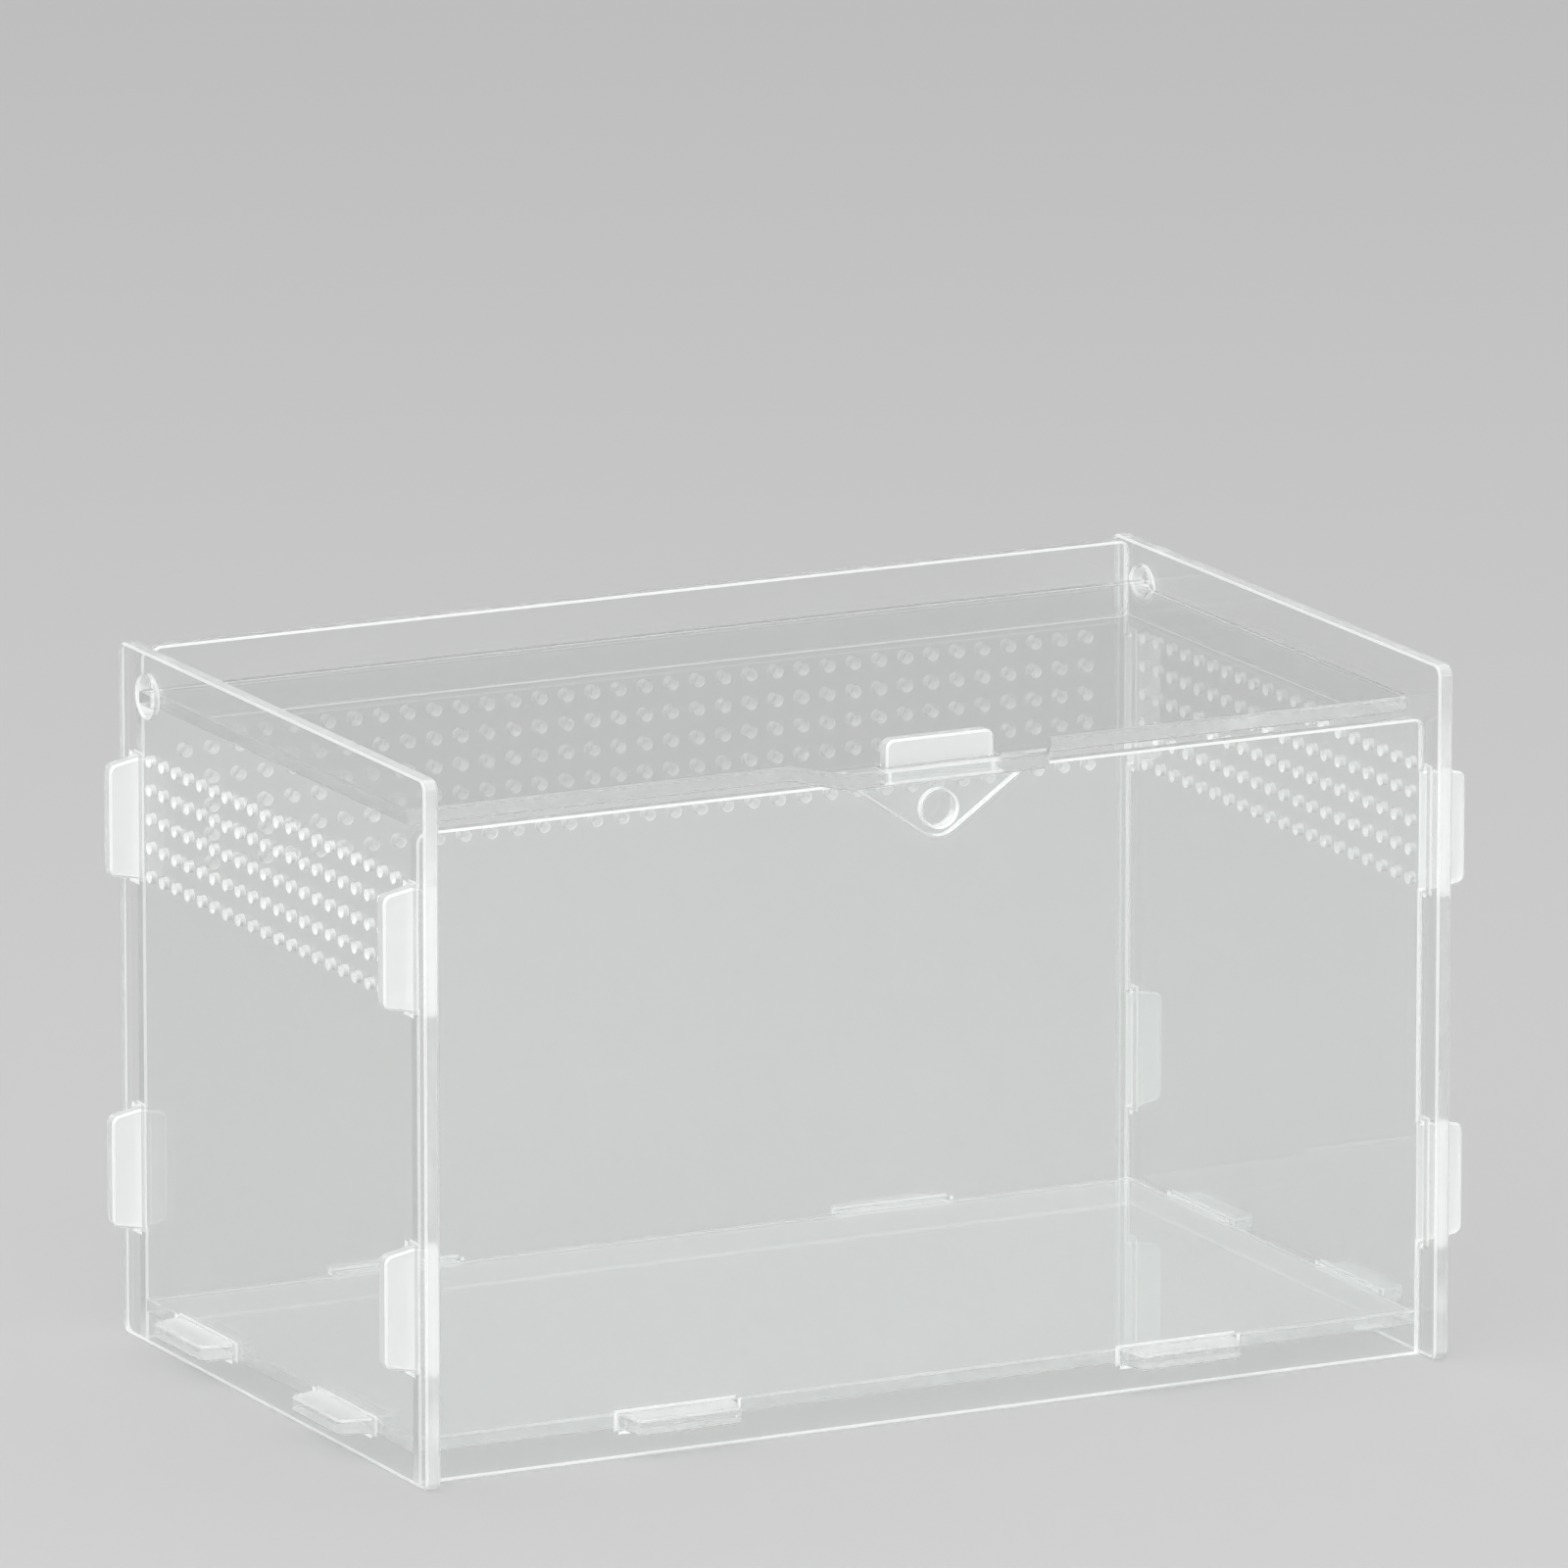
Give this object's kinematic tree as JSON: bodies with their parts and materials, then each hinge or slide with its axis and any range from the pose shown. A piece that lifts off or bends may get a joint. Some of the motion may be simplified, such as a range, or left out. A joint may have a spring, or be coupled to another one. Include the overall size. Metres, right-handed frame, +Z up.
{
  "type": "reptile breeding box",
  "caption": "Clear acrylic flat-pack breeding box: walls and floor locked by tabs in slots, rows of round vent holes, and a hinged lid lifted by a holed pull tab.",
  "frame": {"origin": "on the table, under the middle of the whole box", "axes": "+X to the right along the front wall, +Y to the back, +Z up"},
  "size_m": [0.2064, 0.1224, 0.123],
  "materials": {
    "clear_acrylic": "polished clear sheet with bright laser-cut edges"
  },
  "bodies": {
    "box": {"left_side_panel": "clear_acrylic", "right_side_panel": "clear_acrylic", "front_panel": "clear_acrylic", "back_panel": "clear_acrylic", "floor_panel": "clear_acrylic"},
    "lid": {"lid_panel": "clear_acrylic", "pull_tab": "clear_acrylic"}
  },
  "joints": [
    {"name": "lid_hinge", "type": "hinge", "parent": "box", "child": "lid", "pos_m": [0, 0.05032, 0.1152], "axis": [-1, 0, 0], "range_deg": [0, 104]}
  ]
}
